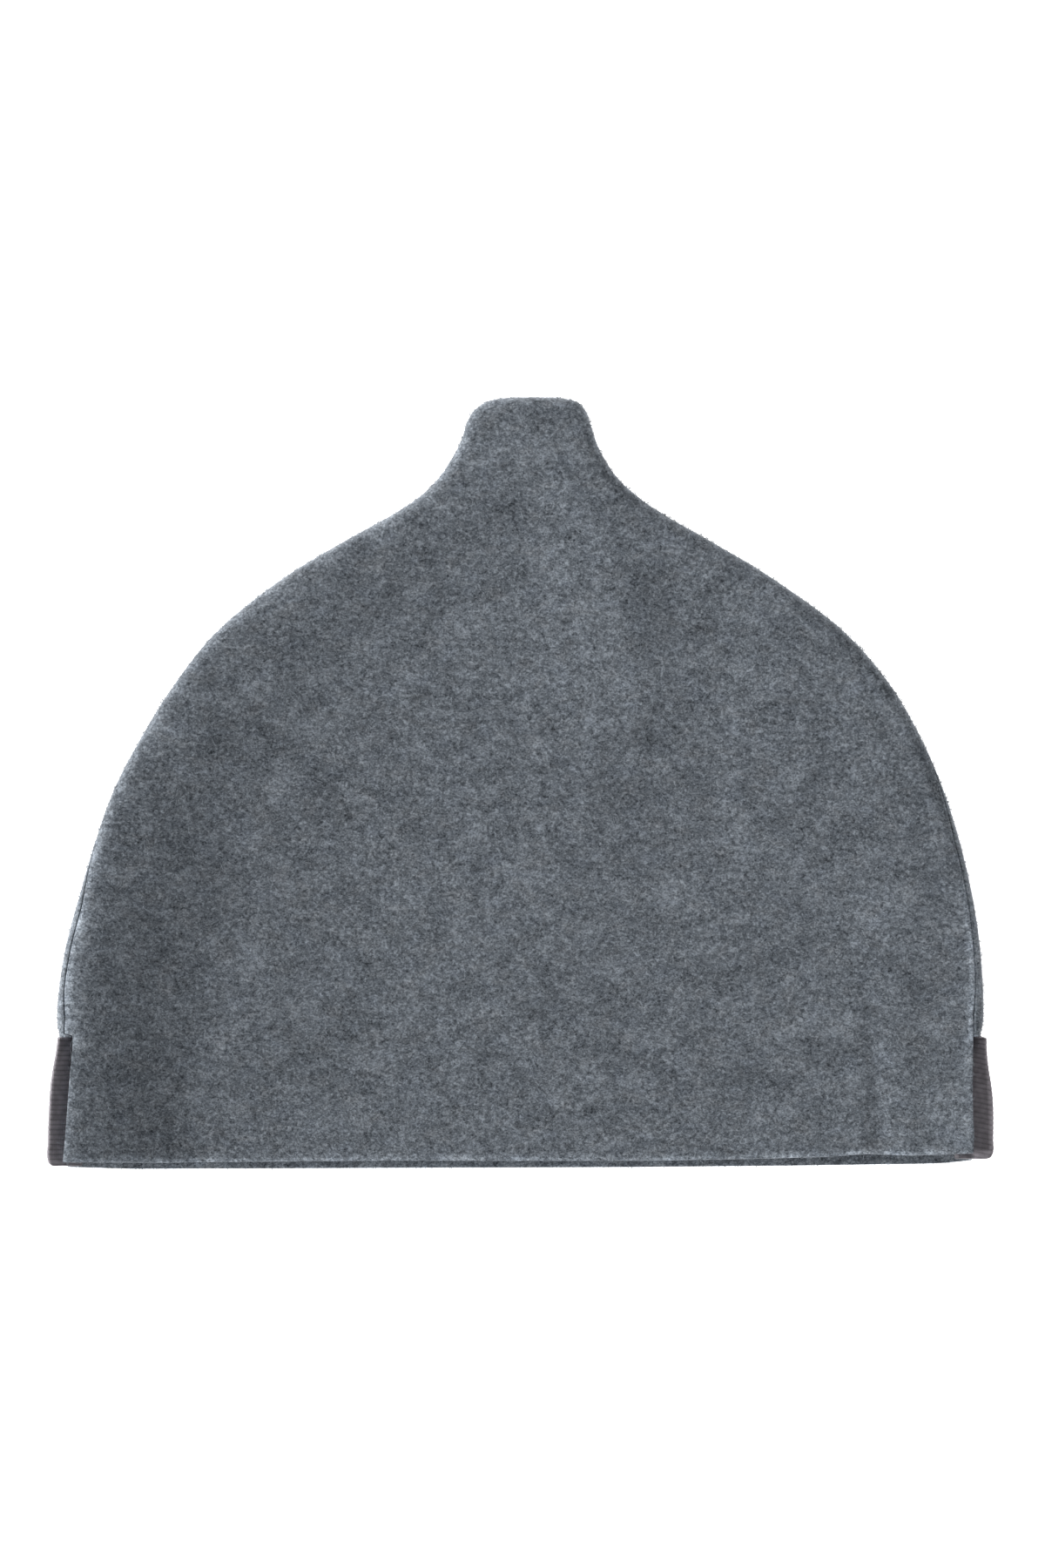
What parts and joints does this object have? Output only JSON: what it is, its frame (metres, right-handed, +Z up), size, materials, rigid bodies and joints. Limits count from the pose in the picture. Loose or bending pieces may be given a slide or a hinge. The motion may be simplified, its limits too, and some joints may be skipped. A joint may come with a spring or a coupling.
{
  "type": "sauna hat",
  "caption": "Felt sauna hat lying flat: a dome of front and back panels with a blunt stub at the tip, a turned seam, a raw hem and a folded ribbon gusset in each side slit.",
  "frame": {"origin": "middle of the bounding box's bottom: on the underside of the back panel, which the hat lies on", "axes": "+X across the hat to the right-hand ribbon, +Y from the hem to the stub at the tip, +Z up out of the front panel"},
  "size_m": [0.3098, 0.2532, 0.0156],
  "materials": {
    "felt": "matt blue-grey melange wool felt",
    "grosgrain": "dark taupe ribbed ribbon with a slight sheen"
  },
  "bodies": {
    "root": {"front_panel": "felt", "back_panel": "felt", "left_ribbon": "grosgrain", "right_ribbon": "grosgrain"}
  },
  "joints": []
}
